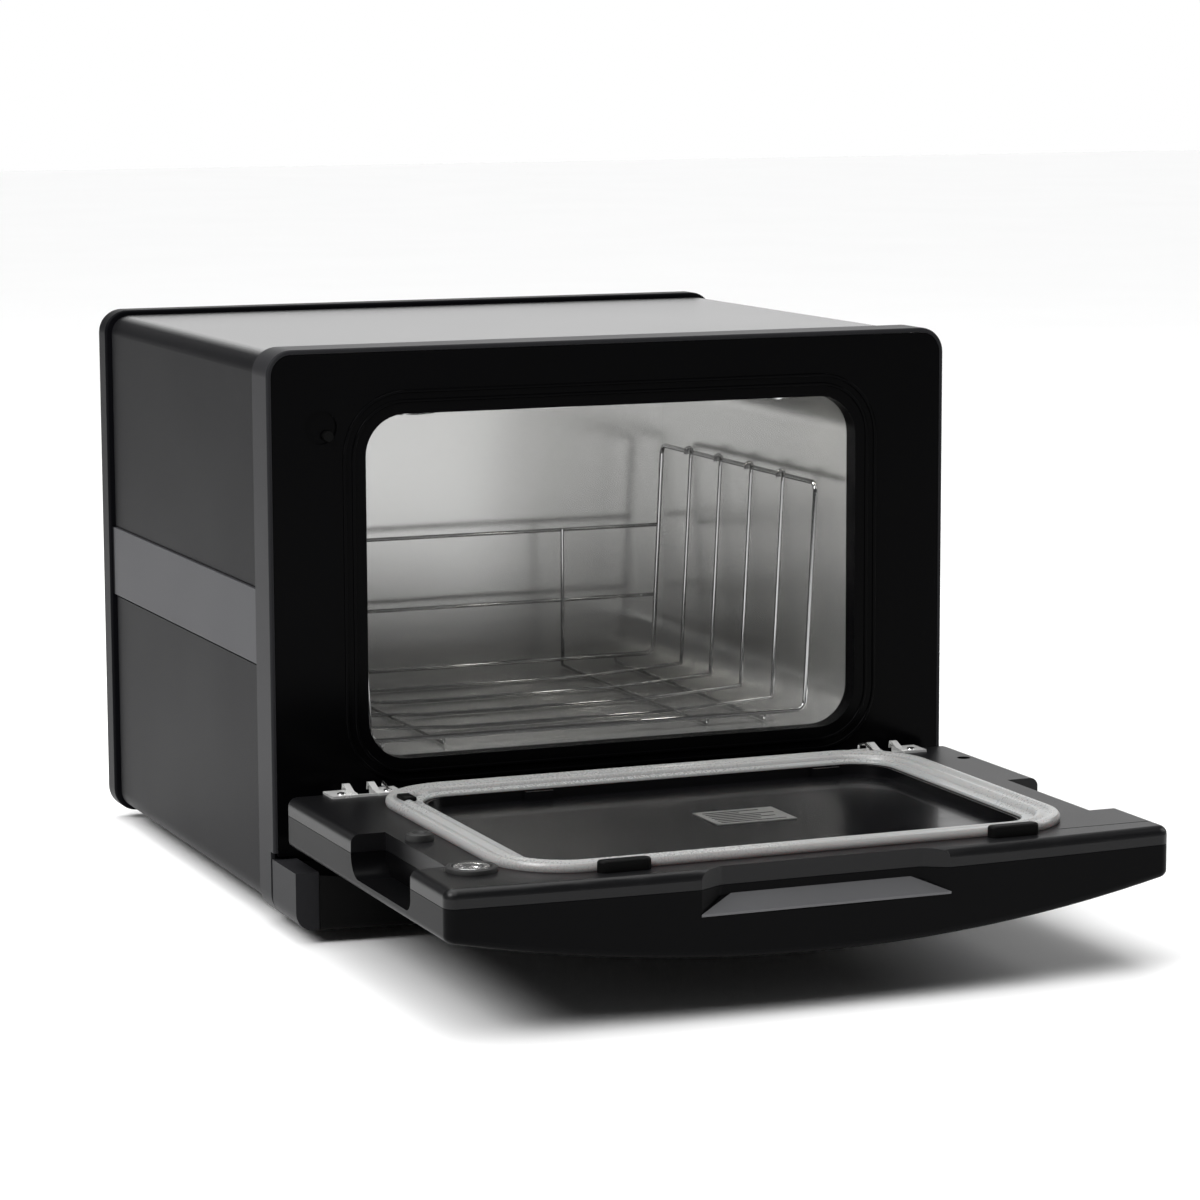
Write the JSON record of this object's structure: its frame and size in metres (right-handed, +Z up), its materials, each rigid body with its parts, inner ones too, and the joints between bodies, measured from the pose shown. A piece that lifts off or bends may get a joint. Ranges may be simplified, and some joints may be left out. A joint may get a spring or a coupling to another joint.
{
  "type": "countertop oven with wire basket",
  "caption": "Compact countertop oven with a drop-down sealed door, a steel cavity, a lift-out wire basket and a pull-out drip tray.",
  "frame": {"origin": "on the floor, on the middle line, in the plane of the front bezel", "axes": "+X to the oven's right seen from the front, +Y rearwards, +Z up; the door is stored open"},
  "size_m": [0.43, 0.663, 0.337],
  "materials": {
    "textured_charcoal": "fine-grain textured charcoal coating",
    "grey_satin_plastic": "satin grey moulding",
    "black_gloss_panel": "gloss black",
    "black_plastic": "matt black moulding",
    "galvanised_sheet": "galvanised sheet",
    "black_rubber": "matt black rubber",
    "stainless": "satin stainless steel",
    "glass_wool": "glass wool",
    "steel": "bright steel",
    "aluminium_sheet": "bare sheet",
    "heater_sheath": "dark heater sheath",
    "lamp_glass": "clear lamp cover",
    "board_green": "circuit board",
    "white_nylon": "natural nylon",
    "dark_door_shell": "satin dark shell",
    "black_door_liner": "fine-grain black moulding",
    "black_enamel": "black satin-gloss inner door pan",
    "grey_silicone": "satin grey silicone",
    "label_foil": "blank metal foil label",
    "grey_trim": "satin grey trim",
    "hinge_steel": "bright stamped steel",
    "chromed_wire": "bright chromed wire"
  },
  "bodies": {
    "oven_case": {"base_pan": "galvanised_sheet", "board_spacers": "white_nylon", "cavity_brackets": "galvanised_sheet", "cavity_lamps": "lamp_glass", "cavity_liner": "stainless", "cord_gland": "black_plastic", "fan_guard": "stainless", "fan_housing": "galvanised_sheet", "fan_motor": "steel", "front_bezel": "grey_satin_plastic", "front_panel": "black_gloss_panel", "guard_posts": "stainless", "hinge_bracket_left": "hinge_steel", "hinge_bracket_right": "hinge_steel", "insulation_blanket": "glass_wool", "lower_rail": "black_plastic", "lower_wrap": "textured_charcoal", "power_board": "board_green", "rear_cover": "galvanised_sheet", "rear_frame": "grey_satin_plastic", "ring_heater": "heater_sheath", "rubber_feet": "black_rubber", "switch_body": "black_plastic", "terminal_block": "white_nylon", "upper_wrap": "textured_charcoal"},
    "door": {"door_outer_shell": "dark_door_shell", "display_lens": "black_gloss_panel", "door_inner_liner": "black_door_liner", "door_pan": "black_enamel", "door_seal": "grey_silicone", "seal_clips": "black_plastic", "strike_ring": "black_rubber", "strike_plate": "steel", "door_bumper": "black_rubber", "label_plate": "label_foil", "handle_trim": "grey_trim", "door_insulation": "glass_wool", "touch_board": "board_green", "hinge_channel_left": "hinge_steel", "hinge_channel_right": "hinge_steel", "hinge_pin_left": "steel", "hinge_pin_right": "steel", "hinge_screws": "steel"},
    "basket": {"wire_basket": "chromed_wire"},
    "tray": {"drip_tray": "black_plastic", "tray_end_caps": "grey_satin_plastic"},
    "plunger": {"switch_plunger": "steel"},
    "fan": {"fan_blade": "aluminium_sheet", "fan_shaft": "steel"}
  },
  "joints": [
    {"name": "door_hinge", "type": "hinge", "parent": "oven_case", "child": "door", "pos_m": [0, -0.0205, 0.068], "axis": [-1, 0, 0], "range_deg": [0, 90]},
    {"name": "basket_slide", "type": "slide", "parent": "oven_case", "child": "basket", "axis": [0, -1, 0], "range_m": [0, 0.018]},
    {"name": "tray_slide", "type": "slide", "parent": "oven_case", "child": "tray", "axis": [0, -1, 0], "range_m": [0, 0.06]},
    {"name": "switch_press", "type": "slide", "parent": "oven_case", "child": "plunger", "axis": [0, 1, 0], "range_m": [0, 0.003], "stiffness_N_per_m": 300},
    {"name": "fan_spin", "type": "hinge", "parent": "oven_case", "child": "fan", "pos_m": [0, 0.18, 0.303], "axis": [0, 0, 1], "continuous": true}
  ]
}
